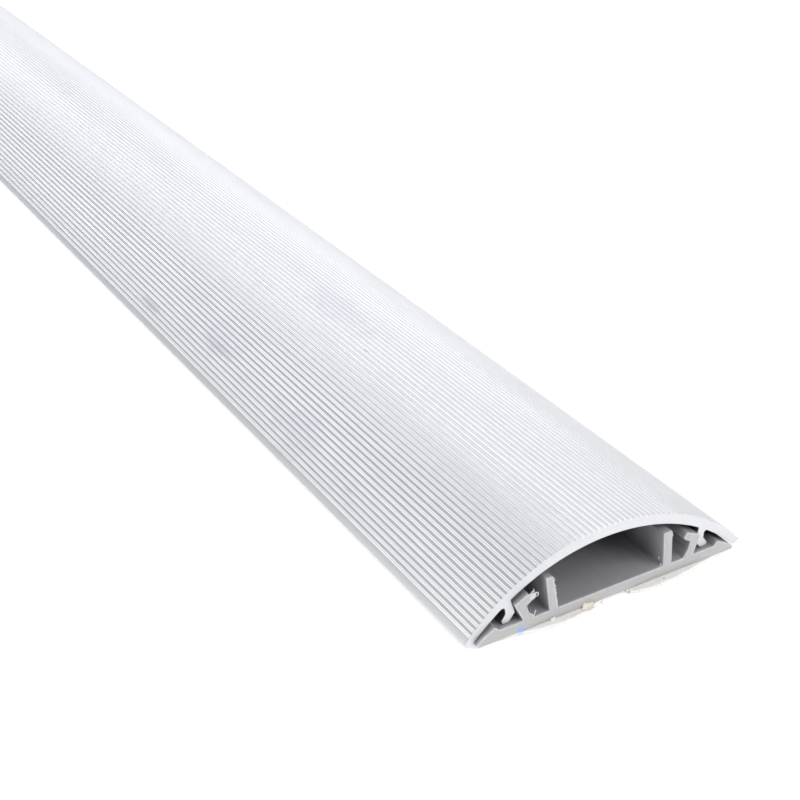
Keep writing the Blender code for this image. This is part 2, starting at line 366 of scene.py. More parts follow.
class Shade:
    """A Principled material under way, patterned by the piece's Object coordinates."""

    def __init__(self, name: str, start: float = 0.0) -> None:
        """Start the material, whose marks are placed along Y from the start."""
        self.material = bpy.data.materials.new(name)
        self.material.use_nodes = True
        self.tree = self.material.node_tree
        self.shader = self.tree.nodes["Principled BSDF"]
        self.place = self.tree.nodes.new("ShaderNodeTexCoord").outputs["Object"]
        self.start = start

    def feed(self, socket: Socket, value: Socket | float | tuple) -> None:
        """Link a socket to another one, or set its own value."""
        if isinstance(value, bpy.types.NodeSocket):
            self.tree.links.new(value, socket)
        else:
            socket.default_value = value

    def maths(self, operation: str, first: Socket, second: Socket | float) -> Socket:
        """Return the outcome of one Math node."""
        node = self.tree.nodes.new("ShaderNodeMath")
        node.operation = operation
        self.feed(node.inputs[0], first)
        self.feed(node.inputs[1], second)
        return node.outputs[0]

    def noise(self, grain: Triple, detail: float = 2.0) -> Socket:
        """Return a noise from 0 to 1 with the grain's size in metres along X, Y and Z."""
        mapping = self.tree.nodes.new("ShaderNodeMapping")
        mapping.inputs["Scale"].default_value = tuple(1.0 / size for size in grain)
        self.feed(mapping.inputs["Vector"], self.place)
        node = self.tree.nodes.new("ShaderNodeTexNoise")
        node.inputs["Scale"].default_value = 1.0
        node.inputs["Detail"].default_value = detail
        self.feed(node.inputs["Vector"], mapping.outputs["Vector"])
        return node.outputs[0]

    def remap(self, value: Socket, source: Pair, target: Pair) -> Socket:
        """Return a value carried from one range to another and held inside it."""
        node = self.tree.nodes.new("ShaderNodeMapRange")
        for socket, number in zip(node.inputs[1:5], (*source, *target)):
            socket.default_value = number
        self.feed(node.inputs[0], value)
        return node.outputs[0]

    def varied(self, noise: Socket, middle: float, less: float, more: float) -> Socket:
        """Return a noise carried to the range from middle - less to middle + more."""
        return self.remap(noise, NOISE_SPAN, (middle - less, middle + more))

    def blend(self, share: Socket, first: Socket | Colour, second: Socket | Colour) -> Socket:
        """Return the first colour turning to the second as the share goes from 0 to 1."""
        node = self.tree.nodes.new("ShaderNodeMix")
        node.data_type = "RGBA"
        self.feed(node.inputs[0], share)
        for socket, colour in ((node.inputs[6], first), (node.inputs[7], second)):
            self.feed(socket, (*colour, 1.0) if isinstance(colour, tuple) else colour)
        return node.outputs[2]

    def tinted(
        self,
        colour: Socket | Colour,
        tint: Colour,
        value: Socket,
        source: Pair,
        target: Pair = (0.0, 1.0),
    ) -> Socket:
        """Return a colour blended to a tint by a value carried from source to target."""
        return self.blend(self.remap(value, source, target), colour, tint)

    def painted_light_and_wear(self) -> Socket:
        """Return the piece's own attribute of painted shade, highlight and rim whitening."""
        node = self.tree.nodes.new("ShaderNodeAttribute")
        node.attribute_name = "painted_light_and_wear"
        return node.outputs["Fac"]

    def marked(self, colour: Socket, *marks: Mark) -> Socket:
        """Return a colour with marks laid over it, one after the other.

        The distance from a mark's centre, measured in its radii, has a noise added to it
        before it is turned into a soft edge at one radius.
        """
        for mark in marks:
            x, y, z = scaled(mark.centre, MM)
            mapping = self.tree.nodes.new("ShaderNodeMapping")
            mapping.vector_type = "TEXTURE"
            mapping.inputs["Location"].default_value = (x, self.start + y, z)
            mapping.inputs["Scale"].default_value = scaled(mark.radii, MM)
            self.feed(mapping.inputs["Vector"], self.place)
            length = self.tree.nodes.new("ShaderNodeVectorMath")
            length.operation = "LENGTH"
            self.feed(length.inputs[0], mapping.outputs["Vector"])
            noise = self.noise(scaled((1.0, 1.0, 1.0), mark.grain * MM), 3.0)
            rough = self.remap(noise, NOISE_SPAN, (-mark.ragged, mark.ragged))
            distance = self.maths("ADD", length.outputs["Value"], rough)
            inside = self.remap(distance, (0.6, 1.2), (1.0, 0.0))
            colour = self.blend(self.maths("MULTIPLY", inside, mark.strength), colour, mark.tint)
        return colour

    def bump(self, height: Socket, depth: float, after: Socket | None = None) -> Socket:
        """Return a normal bumped by a height from 0 to 1 that is depth metres high."""
        node = self.tree.nodes.new("ShaderNodeBump")
        node.inputs["Distance"].default_value = depth
        self.feed(node.inputs["Height"], height)
        if after is not None:
            self.feed(node.inputs["Normal"], after)
        return node.outputs["Normal"]

    def done(self, **sockets: Socket | float | tuple) -> bpy.types.Material:
        """Fill the shader's sockets, named with _ for a blank, and return the material."""
        for name, value in sockets.items():
            self.feed(self.shader.inputs[name.replace("_", " ")], value)
        return self.material


@dataclass(frozen=True)
class SatinAluminium:
    """Extruded and satin anodised aluminium: die lines along Y, painted highlights on the ridge edges,
    and painted shade in the grooves and underneath.
    """

    metal: Colour = (0.815, 0.82, 0.832)
    cloudy: Colour = (0.79, 0.795, 0.811)
    # Painted shade in the grooves and on the ridge hollows
    groove: Colour = (0.43, 0.435, 0.455)
    # Painted highlight on the ridge tops
    edge: Colour = (0.93, 0.93, 0.94)
    lavender: Colour = (0.66, 0.67, 0.735)
    scuff: Colour = (0.56, 0.56, 0.60)
    # Painted shade on the cover's underside and hooks
    painted_underside_shade: Colour = (0.26, 0.262, 0.27)
    grazing: Colour = (0.88, 0.88, 0.90)
    roughness: float = 0.42
    groove_roughness: float = 0.5
    line_grain: Triple = (0.16 * MM, 45.0 * MM, 0.16 * MM)
    etch_grain: Triple = (0.09 * MM, 0.14 * MM, 0.09 * MM)
    cloud_grain: Triple = (9.0 * MM, 26.0 * MM, 9.0 * MM)
    line_depth: float = 0.006 * MM
    etch_depth: float = 0.005 * MM
    stains: tuple[Triple, ...] = ((-27.5, 150.0, 9.5), (1.5, 128.0, 19.0), (-31.0, 96.0, 7.5))
    stain_radii: Triple = (5.5, 17.0, 4.0)
    scuffs: tuple[tuple[Triple, Triple], ...] = (
        ((-29.85, 147.0, 9.8), (1.5, 9.0, 1.4)),
        ((-33.3, 191.0, 6.6), (1.3, 7.0, 1.2)),
        ((-4.1, 104.3, 19.4), (0.5, 1.6, 0.5)),
        ((-32.6, 62.3, 7.3), (0.5, 1.5, 0.5)),
        ((-36.4, 96.0, 3.1), (0.6, 5.0, 0.8)),
    )

    def marks(self) -> list[Mark]:
        """Return the lavender stains and then the scuffs."""
        stains = [
            Mark(self.lavender, strength=0.4, centre=spot, radii=self.stain_radii, ragged=0.6, grain=7.0)
            for spot in self.stains
        ]
        scuffs = [
            Mark(self.scuff, strength=0.8, centre=spot, radii=radii, ragged=0.5, grain=0.7)
            for spot, radii in self.scuffs
        ]
        return stains + scuffs

    def material(self, end: float) -> bpy.types.Material:
        """Return the finish, with clouds, marks, painted groove shade, painted highlights on the ridge
        edges and painted shade underneath.

        Args:
            end: Y of the sawn end, from which the marks are placed.

        Returns:
            The material.
        """
        shade = Shade("satin_aluminium", end)
        lines = shade.noise(self.line_grain, 3.0)
        etch = shade.noise(self.etch_grain, 1.0)
        painted_light_and_wear = shade.painted_light_and_wear()
        clouds = shade.noise(self.cloud_grain, 4.0)
        colour = shade.tinted(self.metal, self.cloudy, clouds, (0.35, 0.7))
        colour = shade.marked(colour, *self.marks())
        # Painted shade in the grooves and hollows
        colour = shade.tinted(colour, self.groove, painted_light_and_wear, (0.0, 0.85), (1.0, 0.0))
        # Painted highlight on the ridge tops
        colour = shade.tinted(colour, self.edge, painted_light_and_wear, (0.9, 1.0), (0.0, 0.8))
        # Painted shade underneath the cover
        colour = shade.tinted(colour, self.painted_underside_shade, painted_light_and_wear, (-1.0, -0.5), (1.0, 0.0))
        deep = shade.remap(painted_light_and_wear, (0.0, 0.4), (self.groove_roughness - self.roughness, 0.0))
        rough = shade.maths("ADD", shade.varied(lines, self.roughness, 0.04, 0.05), deep)
        normal = shade.bump(etch, self.etch_depth, shade.bump(lines, self.line_depth))
        return shade.done(
            Base_Color=colour,
            Metallic=1.0,
            Roughness=rough,
            Specular_Tint=(*self.grazing, 1.0),
            Normal=normal,
        )


@dataclass(frozen=True)
class SawnAluminium:
    """The cut end of the cover: bright metal with faint saw strokes across it."""

    metal: Colour = (0.67, 0.675, 0.69)
    scored: Colour = (0.61, 0.615, 0.64)
    roughness: float = 0.42
    stroke_grain: Triple = (3.5 * MM, 0.3 * MM, 0.11 * MM)
    stroke_turn: Triple = (0.0, math.radians(24.0), 0.0)
    pit_grain: Triple = (0.13 * MM, 0.13 * MM, 0.13 * MM)
    stroke_depth: float = 0.012 * MM
    pit_depth: float = 0.008 * MM

    def material(self) -> bpy.types.Material:
        """Return the finish: strokes and small pits in colour, roughness and bump."""
        shade = Shade("sawn_aluminium")
        turned = shade.tree.nodes.new("ShaderNodeMapping")
        turned.inputs["Rotation"].default_value = self.stroke_turn
        shade.feed(turned.inputs["Vector"], shade.place)
        shade.place = turned.outputs["Vector"]
        strokes = shade.noise(self.stroke_grain, 3.0)
        pits = shade.noise(self.pit_grain)
        both = shade.maths("MULTIPLY", strokes, pits)
        colour = shade.tinted(self.metal, self.scored, both, (0.16, 0.36), (1.0, 0.0))
        rough = shade.varied(strokes, self.roughness, 0.06, 0.08)
        normal = shade.bump(pits, self.pit_depth, shade.bump(strokes, self.stroke_depth))
        return shade.done(Base_Color=colour, Metallic=1.0, Roughness=rough, Normal=normal)


@dataclass(frozen=True)
class GreyPlastic:
    """Extruded grey plastic with soft streaks along Y, paler along the sawn rim: torn whitening and a
    painted highlight.
    """

    plain: Colour = (0.385, 0.385, 0.40)
    streak: Colour = (0.355, 0.355, 0.375)
    # Pale rim colour: torn whitening and a painted highlight along the sawn rim
    torn: Colour = (0.66, 0.66, 0.68)
    roughness: float = 0.46
    streak_grain: Triple = (0.9 * MM, 130.0 * MM, 0.9 * MM)
    peel_grain: Triple = (0.2 * MM, 0.45 * MM, 0.2 * MM)
    streak_depth: float = 0.006 * MM
    peel_depth: float = 0.006 * MM

    def material(self) -> bpy.types.Material:
        """Return the finish: streaks, fine orange peel and a pale rim of torn whitening and painted
        highlight.
        """
        shade = Shade("grey_plastic")
        streaks = shade.noise(self.streak_grain, 4.0)
        peel = shade.noise(self.peel_grain)
        colour = shade.tinted(self.plain, self.streak, streaks, (0.35, 0.65))
        # Torn whitening and painted highlight along the rim
        colour = shade.tinted(colour, self.torn, shade.painted_light_and_wear(), (0.2, 1.0), (0.0, 0.8))
        rough = shade.varied(peel, self.roughness, 0.05, 0.06)
        normal = shade.bump(peel, self.peel_depth, shade.bump(streaks, self.streak_depth))
        return shade.done(Base_Color=colour, Roughness=rough, Normal=normal)


@dataclass(frozen=True)
class SawnPlastic:
    """The base's cut end: a dull grain, with a pale blue mark and smears of glue."""

    plain: Colour = (0.465, 0.46, 0.475)
    pale: Colour = (0.52, 0.515, 0.53)
    dark: Colour = (0.405, 0.40, 0.415)
    warm: Colour = (0.475, 0.46, 0.44)
    glue: Colour = (0.46, 0.445, 0.395)
    roughness: float = 0.62
    tint_grain: Triple = (4.0 * MM, 4.0 * MM, 0.9 * MM)
    speckle_grain: Triple = (0.20 * MM, 0.20 * MM, 0.20 * MM)
    stroke_grain: Triple = (0.12 * MM, 0.30 * MM, 1.10 * MM)
    speckle_depth: float = 0.022 * MM
    stroke_depth: float = 0.012 * MM
    glue_spots: tuple[tuple[Triple, Triple], ...] = (
        ((21.5, 0.0, 1.75), (6.5, THROUGH, 0.22)),
        ((-5.6, 0.0, 2.0), (3.2, THROUGH, 1.0)),
        ((12.5, 0.0, 1.6), (4.0, THROUGH, 0.5)),
        ((-17.0, 0.0, 1.5), (5.0, THROUGH, 0.35)),
    )
    green_halo: Mark = Mark(
        tint=(0.42, 0.53, 0.56),
        strength=0.7,
        centre=(-24.6, 0.0, 1.5),
        radii=(0.9, THROUGH, 1.0),
        ragged=0.35,
        grain=0.6,
    )
    blue_mark: Mark = Mark(
        tint=(0.30, 0.43, 0.70),
        strength=0.85,
        centre=(-23.75, 0.0, 1.55),
        radii=(1.15, THROUGH, 1.15),
        ragged=0.35,
        grain=0.6,
    )

    def material(self) -> bpy.types.Material:
        """Return the finish: speckle and warm tints over saw strokes, with the marks."""
        shade = Shade("sawn_plastic")
        speckle = shade.noise(self.speckle_grain, 3.0)
        strokes = shade.noise(self.stroke_grain)
        tints = shade.noise(self.tint_grain, 3.0)
        colour = shade.tinted(self.plain, self.pale, speckle, (0.5, 0.72))
        colour = shade.tinted(colour, self.dark, speckle, (0.28, 0.42), (1.0, 0.0))
        colour = shade.tinted(colour, self.warm, tints, (0.42, 0.62), (0.0, 0.8))
        glue = [
            Mark(self.glue, strength=0.7, centre=spot, radii=radii, ragged=0.5, grain=0.5)
            for spot, radii in self.glue_spots
        ]
        colour = shade.marked(colour, *glue, self.green_halo, self.blue_mark)
        normal = shade.bump(speckle, self.speckle_depth, shade.bump(strokes, self.stroke_depth))
        return shade.done(Base_Color=colour, Roughness=self.roughness, Normal=normal)


@dataclass(frozen=True)
class CrumblyFinish:
    """A finish whose lower colour shows higher patches on a crumbly grain."""

    name: str
    lower: Colour
    higher: Colour
    patch_span: Pair = (0.4, 0.65)
    roughness: float = 0.55
    grain: float = 0.12 * MM
    detail: float = 3.0
    depth: float = 0.015 * MM

    def material(self) -> bpy.types.Material:
        """Return the finish: the patches in colour, and the grain as bump."""
        shade = Shade(self.name)
        crumbs = shade.noise(scaled((1.0, 1.0, 1.0), self.grain), self.detail)
        colour = shade.tinted(self.lower, self.higher, crumbs, self.patch_span)
        normal = shade.bump(crumbs, self.depth)
        return shade.done(Base_Color=colour, Roughness=self.roughness, Normal=normal)


# Plastic that the saw tore and whitened, and small dark bits stuck to the tape's edge
TORN_PLASTIC = CrumblyFinish("torn_plastic", (0.54, 0.535, 0.555), (0.70, 0.695, 0.71))
CHALKY_CRUMB = CrumblyFinish("chalky_crumb", (0.84, 0.84, 0.85), (0.93, 0.93, 0.93))
DARK_DIRT = CrumblyFinish(
    name="dark_dirt",
    lower=(0.10, 0.09, 0.095),
    higher=(0.24, 0.22, 0.21),
    patch_span=(0.45, 0.65),
    roughness=0.8,
    grain=0.15 * MM,
    detail=2.0,
    depth=0.03 * MM,
)


@dataclass(frozen=True)
class TapeFoam:
    """The tape's sticky foam, off-white with soft pink and grey patches from handling."""

    cream: Colour = (0.88, 0.87, 0.85)
    grey: Colour = (0.83, 0.82, 0.81)
    pink: Colour = (0.89, 0.84, 0.835)
    olive: Colour = (0.86, 0.84, 0.81)
    roughness: float = 0.58
    cell_grain: Triple = (0.22 * MM, 0.22 * MM, 0.22 * MM)
    patch_grain: Triple = (4.2 * MM, 0.9 * MM, 2.4 * MM)
    cell_depth: float = 0.02 * MM
    blue_mark: Mark = Mark(
        tint=(0.55, 0.66, 0.84),
        strength=0.5,
        centre=(-23.9, 0.0, 0.9),
        radii=(0.8, THROUGH, 0.8),
        ragged=0.4,
        grain=0.5,
    )

    def material(self) -> bpy.types.Material:
        """Return the finish: cells as bump, three slow tints and the end of the blue mark."""
        shade = Shade("tape_foam")
        cells = shade.noise(self.cell_grain)
        patches = shade.noise(self.patch_grain, 3.0)
        colour = shade.tinted(self.cream, self.pink, patches, (0.52, 0.68), (0.0, 0.9))
        colour = shade.tinted(colour, self.olive, patches, (0.30, 0.44), (0.9, 0.0))
        colour = shade.tinted(colour, self.grey, cells, (0.55, 0.75), (0.0, 0.4))
        colour = shade.marked(colour, self.blue_mark)
        normal = shade.bump(cells, self.cell_depth)
        return shade.done(Base_Color=colour, Roughness=self.roughness, Normal=normal)


@dataclass(frozen=True)
class LinerPaper:
    """The tape's release liner: white coated paper with faint fibres and a soft gloss."""

    white: Colour = (0.90, 0.895, 0.885)
    fibre: Colour = (0.85, 0.845, 0.83)
    roughness: float = 0.42
    fibre_grain: Triple = (0.9 * MM, 0.25 * MM, 0.25 * MM)
    wrinkle_grain: Triple = (1.6 * MM, 0.8 * MM, 1.0 * MM)
    fibre_depth: float = 0.01 * MM
    wrinkle_depth: float = 0.06 * MM

    def material(self) -> bpy.types.Material:
        """Return the finish: fibres in colour and bump, over soft wrinkles."""
        shade = Shade("liner_paper")
        fibres = shade.noise(self.fibre_grain, 3.0)
        wrinkles = shade.noise(self.wrinkle_grain)
        colour = shade.tinted(self.white, self.fibre, fibres, (0.5, 0.75))
        normal = shade.bump(fibres, self.fibre_depth, shade.bump(wrinkles, self.wrinkle_depth))
        return shade.done(Base_Color=colour, Roughness=self.roughness, Normal=normal)


@dataclass(frozen=True)
class SpeckledScrap:
    """The scrap on the left tape: yellowed paper with a smudge and dark specks."""

    straw: Colour = (0.83, 0.785, 0.69)
    pale: Colour = (0.85, 0.825, 0.79)
    brown: Colour = (0.50, 0.42, 0.31)
    dark: Colour = (0.17, 0.155, 0.13)
    roughness: float = 0.7
    tint_grain: Triple = (0.9 * MM, 0.9 * MM, 0.9 * MM)
    speck_grain: Triple = (0.35 * MM, 0.35 * MM, 0.35 * MM)
    fold_depth: float = 0.02 * MM
    smudge: Mark = Mark(
        tint=(0.44, 0.43, 0.35),
        strength=0.85,
        centre=(-5.6, 0.0, 2.25),
        radii=(1.5, THROUGH, 0.6),
        ragged=0.6,
        grain=0.5,
    )

    def material(self) -> bpy.types.Material:
        """Return the finish: yellow patches, an olive smudge on top, and a few specks."""
        shade = Shade("speckled_scrap")
        tint = shade.noise(self.tint_grain, 3.0)
        specks = shade.noise(self.speck_grain)
        colour = shade.tinted(self.straw, self.pale, tint, (0.4, 0.62))
        colour = shade.marked(colour, self.smudge)
        colour = shade.tinted(colour, self.brown, specks, (0.64, 0.70), (0.0, 0.85))
        colour = shade.tinted(colour, self.dark, specks, (0.71, 0.75), (0.0, 0.9))
        normal = shade.bump(tint, self.fold_depth)
        return shade.done(Base_Color=colour, Roughness=self.roughness, Normal=normal)


# Pieces of the trunking


def placed(made: bpy.types.Object, slot: Slot, *nodes: str) -> bpy.types.Object:
    """Hang a finished piece on the part's one body, and hide the CAD nodes it replaces."""
    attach(made, "root")
    if nodes:
        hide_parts(*nodes)
    return made


def ring_places(near: float, far: float, offsets: tuple[float, ...], spacing: float) -> np.ndarray:
    """Return the Y of each ring of a long extrusion.

    The rings stand at the offsets from the near end, then evenly, then at the first two
    offsets from the far end.
    """
    start, end = near + offsets[-1], far - offsets[1]
    count = math.ceil((end - start) / spacing)
    middle = np.linspace(start, end, count + 1)[1:]
    return np.concatenate([near + np.array(offsets), middle, [far]])


@dataclass
class RidgedCover:
    """The arched aluminium cover, with lengthwise ridges on top and two hooks below.

    Corners are rows of x, z and rounding radius.
    """

    half_width: float = 37.6 * MM
    inner_radius: float = 48.95 * MM
    inner_centre_z: float = -32.25 * MM
    groove_radius: float = 49.71 * MM
    outer_centre_z: float = -30.5 * MM
    tip_side_height: float = 2.15 * MM
    tip_bottom: Pair = (36.9 * MM, 1.25 * MM)
    tip_radius: float = 0.3 * MM
    tip_width: float = 0.9 * MM
    # Painted shade on the band along each blunt tip
    tip_shade: float = 0.3
    ridge_count: int = 57
    ridge_pitch: float = 1.4393 * MM
    ridge_width: float = 1.12 * MM
    ridge_height: float = 0.25 * MM
    ridge_flank: float = 0.2 * MM
    ridge_edge_radius: float = 0.11 * MM
    ridge_foot_radius: float = 0.04 * MM
    ridge_hollow: float = 0.055 * MM
    hollow_half: float = 0.14 * MM
    hollow_above: float = 0.5
    # Painted shade on the ridge hollows by X, and the painted groove shade, widened on the left flank
    # and lifted from the crown on
    hollow_shade_places: tuple[float, ...] = (-36.0 * MM, -25.0 * MM, 4.0 * MM, 18.0 * MM)
    hollow_shades: tuple[float, ...] = (0.75, 0.95, 1.0, 0.55)
    shade_lift_from: Pair = (-24.0 * MM, -3.0 * MM)
    shade_lift: float = 0.95
    groove_shade_power: float = 2.2
    # Deeper than this below the groove arc, the cover takes painted shade underneath
    hidden_depth: float = 0.1 * MM
    neck_x: Pair = (27.15 * MM, 25.5 * MM)
    neck_radii: Pair = (0.6 * MM, 0.3 * MM)
    neck_room: float = 1.2 * MM
    hook_corners: tuple[Triple, ...] = (
        (26.9 * MM, 6.3 * MM, 0.8 * MM),
        (28.0 * MM, 4.75 * MM, 0.4 * MM),
        (27.6 * MM, 3.9 * MM, 0.5 * MM),
        (26.1 * MM, 3.9 * MM, 0.5 * MM),
        (24.5 * MM, 5.9 * MM, 0.4 * MM),
    )
    arc_step: float = math.radians(1.5)
    near_offsets: tuple[float, ...] = (0.0, 0.05 * MM, 0.2 * MM, 1.0 * MM, 6.0 * MM)
    ring_spacing: float = 60.0 * MM
    edge_break: float = 0.05 * MM

    def ridges(self) -> np.ndarray:
        """Return the corners of every ridge from +X to -X.

        A ridge is a foot, a top edge, a shallow hollow and the same again mirrored, laid
        on the groove arc at angles of distance over the ridge-top radius.
        """
        foot, edge = self.ridge_width / 2, self.ridge_width / 2 - self.ridge_flank
        along = np.array([foot, edge, self.hollow_half, 0.0, -self.hollow_half, -edge, -foot])
        top, low = self.ridge_height, self.ridge_height - self.ridge_hollow
        rise = np.array([0.0, top, (top + low) / 2, low, (top + low) / 2, top, 0.0])
        ends = [self.ridge_foot_radius, self.ridge_edge_radius]
        radii = np.array([*ends, 0.0, 0.0, 0.0, *ends[::-1]])
        middles = ((self.ridge_count - 1) / 2 - np.arange(self.ridge_count)) * self.ridge_pitch
        angles = (middles[:, None] + along) / (self.groove_radius + self.ridge_height)
        flat = arc(self.groove_radius + rise, self.outer_centre_z, angles)
        radii = np.broadcast_to(radii, angles.shape)[..., None]
        return np.concatenate([flat, radii], axis=-1).reshape(-1, 3)

    def under_arc(self, angles: np.ndarray) -> np.ndarray:
        """Return unrounded corners on the inner arc, at angles from straight up."""
        flat = arc(self.inner_radius, self.inner_centre_z, angles)
        return np.column_stack([flat, np.zeros(len(angles))])

    def underside(self) -> np.ndarray:
        """Return the corners below, from -X to +X: three stretches of arc and two hooks."""
        edge = math.acos((self.tip_bottom[1] - self.inner_centre_z) / self.inner_radius)
        outer, inner = (math.asin(x / self.inner_radius) for x in self.neck_x)
        room = self.neck_room / self.inner_radius
        left, middle, right = (
            self.under_arc(np.linspace(start, end, math.ceil((end - start) / self.arc_step) + 1))
            for start, end in (
                (-edge, -outer - room),
                (room - inner, inner - room),
                (outer + room, edge),
            )
        )
        necks = self.under_arc(np.array([outer, inner]))
        necks[:, 2] = self.neck_radii
        hook = np.array([necks[0], *self.hook_corners, necks[1]])[::-1]
        return np.concatenate([left, mirrored(hook), middle, hook, right])

    def outline(self) -> np.ndarray:
        """Return the section: ridged arc, blunt tips, underside and hooks."""
        tip = np.array([
            (*self.tip_bottom, self.tip_radius),
            (self.half_width, self.tip_side_height, self.tip_radius),
        ])
        return rounded(np.concatenate([self.ridges(), mirrored(tip), self.underside(), tip]))

    def painted_light_of(self, outline: np.ndarray) -> np.ndarray:
        """Return the painted light on the metal: 0 is painted shade deep in a groove, 1 is bright
        on a ridge with a painted highlight, -1 is painted shade below.

        It is the height above the groove arc as a share of a ridge. On the left flank the
        share's power widens the painted groove shade, and from the crown on a floor lifts it.
        The hollow's depth puts painted shade on each ridge, most of all round the crown, and
        the tips take a band of painted shade.
        """
        centre = np.array([0.0, self.outer_centre_z])
        rise = np.linalg.norm(outline - centre, axis=1) - self.groove_radius
        share = np.clip(rise / self.ridge_height, 0.0, 1.0)
        x = outline[:, 0]
        shade_lifted = smooth_step(*self.shade_lift_from, x)
        lift = self.shade_lift * shade_lifted
        painted_light = lift + (1.0 - lift) * share ** (self.groove_shade_power - (self.groove_shade_power - 1.0) * shade_lifted)
        sunk = np.clip((1.0 - share) * self.ridge_height / self.ridge_hollow, 0.0, 1.0)
        hollow_shade = np.interp(x, self.hollow_shade_places, self.hollow_shades)
        painted_light = np.where(share > self.hollow_above, 1.0 - hollow_shade * sunk, painted_light)
        painted_light = np.where(rise < -self.hidden_depth, -1.0, painted_light)
        return np.where(np.abs(x) > self.half_width - self.tip_width, self.tip_shade, painted_light)

    def build(self) -> list[bpy.types.Object]:
        """Build the cover over its CAD node's whole length.

        Returns:
            The one piece.
        """
        low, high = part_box("cover")
        outline = self.outline()
        places = ring_places(low.y, high.y, self.near_offsets, self.ring_spacing)
        push = np.zeros((len(places), len(outline)))
        push[[0, -1]] = -self.edge_break
        surface = Surface()
        surface.add_rings(carried(outline, places, push), self.painted_light_of(outline), Face.SAWN)
        finishes = [SatinAluminium().material(low.y), SawnAluminium().material()]
        return [placed(surface.to_object("ridged_cover", finishes), Slot.COVER, "cover")]


@dataclass
class ChannelBase:
    """The grey plastic base: plate, edge wedges, clips and the two dividing walls.

    Corners are rows of x, z and rounding radius in mm, those of the left side mirrored.
    """

    edge_corners: tuple[Triple, ...] = (
        (34.75, 1.0, 0.25),
        (34.75, 1.75, 0.2),
        (33.95, 2.55, 0.2),
        (30.2, 4.7, 0.3),
        (29.1, 3.6, 0.25),
    )
    right_clip: tuple[Triple, ...] = (
        (23.2, 3.6, 0.3),
        (25.1, 8.4, 0.3),
        (21.35, 10.25, 0.2),
        (20.45, 9.15, 0.2),
        (20.75, 8.55, 0.2),
        (22.35, 7.5, 0.2),
        (21.7, 5.5, 0.5),
        (20.4, 3.6, 0.25),
    )
    left_clip: tuple[Triple, ...] = (
        (22.95, 3.6, 0.3),
        (25.1, 8.45, 0.3),
        (21.5, 10.2, 0.25),
        (20.3, 8.4, 0.15),
        (22.2, 7.2, 0.2),
        (21.8, 5.7, 1.0),
        (20.3, 3.6, 0.7),
    )
    right_wall: tuple[Triple, ...] = (
        (17.05, 3.6, 0.35),
        (17.05, 10.65, 0.0),
        (17.35, 11.15, 0.15),
        (17.05, 11.65, 0.0),
        (17.05, 12.35, 0.2),
        (14.75, 12.35, 0.2),
        (14.75, 3.6, 0.5),
    )
    left_wall: tuple[Triple, ...] = (
        (16.2, 3.6, 0.35),
        (17.0, 12.35, 0.2),
        (15.2, 12.35, 0.2),
        (14.0, 3.6, 0.5),
    )
    spacing: float = 0.3 * MM
    near_offsets: tuple[float, ...] = (0.0, 0.12 * MM, 0.26 * MM, 0.7 * MM, 3.0 * MM, 12.0 * MM)
    ring_spacing: float = 80.0 * MM
    rim_break: float = 0.16 * MM
    rim_inset: float = 0.01 * MM
    rim_ragged: float = 0.035 * MM
    rim_uneven: float = 0.02 * MM
    rim_wavelength: float = 0.8 * MM
    # Pale rim of torn whitening and painted highlight, on the first rings
    rim_whitening_and_highlight: tuple[float, ...] = (1.0, 1.0, 0.9, 0.25)
    far_break: float = 0.05 * MM
    seed: int = 11

    def outline(self) -> np.ndarray:
        """Return the section, with points put in so that its sawn rim can be ragged."""
        right = np.array([*self.edge_corners, *self.right_clip, *self.right_wall])
        left = np.array([*self.edge_corners, *self.left_clip, *self.left_wall])
        corners = np.concatenate([right, mirrored(left)]) * MM
        return subdivided(rounded(corners), self.spacing)

    def build(self) -> list[bpy.types.Object]:
        """Build the base with a ragged rim at its sawn end.

        The first ring is drawn in by the rim's break plus a ripple, the second stands out
        by the ripple's positive half, and the pale rim of torn whitening and painted
        highlight fades over the next rings.

        Returns:
            The one piece.
        """
        low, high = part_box("base")
        outline = self.outline()
        places = ring_places(low.y, high.y, self.near_offsets, self.ring_spacing)
        rag = ripple(outline[:, 0], outline[:, 1], self.rim_wavelength, self.seed)
        push = np.zeros((len(places), len(outline)))
        push[0] = -self.rim_break + self.rim_ragged * rag
        push[1] = self.rim_ragged * np.clip(rag, 0.0, 1.2) - self.rim_inset
        push[-1] = -self.far_break
        rings = carried(outline, places, push)
        rings[1, :, 1] += self.rim_uneven * np.roll(rag, 7)
        # Pale rim of torn whitening and painted highlight, fading inwards
        painted_light_and_wear = np.zeros((len(places), 1))
        painted_light_and_wear[: len(self.rim_whitening_and_highlight), 0] = self.rim_whitening_and_highlight
        surface = Surface()
        surface.add_rings(rings, painted_light_and_wear, Face.SAWN)
        finishes = [GreyPlastic().material(), SawnPlastic().material()]
        return [placed(surface.to_object("channel_base", finishes), Slot.BASE, "base")]


def lump(centre: Triple, radii: Triple, seed: int) -> np.ndarray:
    """Return the rings of a lump: an ellipsoid whose radius carries a ripple.

    A ring stands at each polar angle, with its points at even turns round the Z axis, and
    the first and last rings are small enough to be closed by one face.
    """
    polar = np.linspace(0.12, math.pi - 0.12, 12)[:, None]
    turns = np.arange(16) * TAU / 16
    x, y = np.sin(polar) * np.cos(turns), np.sin(polar) * np.sin(turns)
    swell = 1.0 + 0.14 * ripple(x, np.cos(polar) + y, 1.6, seed)
    sphere = np.stack([x, y, np.broadcast_to(np.cos(polar), x.shape)], axis=-1)
    return np.array(centre) + sphere * swell[..., None] * np.array(radii)


def lumps(spots: tuple[tuple[Triple, Triple], ...], end: float, seed: int) -> Surface:
    """Return a lump at each spot, a centre and radii in mm, with depths from the end."""
    surface = Surface()
    for number, (centre, radii) in enumerate(spots):
        x, y, z = scaled(centre, MM)
        surface.add_rings(lump((x, end + y, z), scaled(radii, MM), seed + number))
    return surface


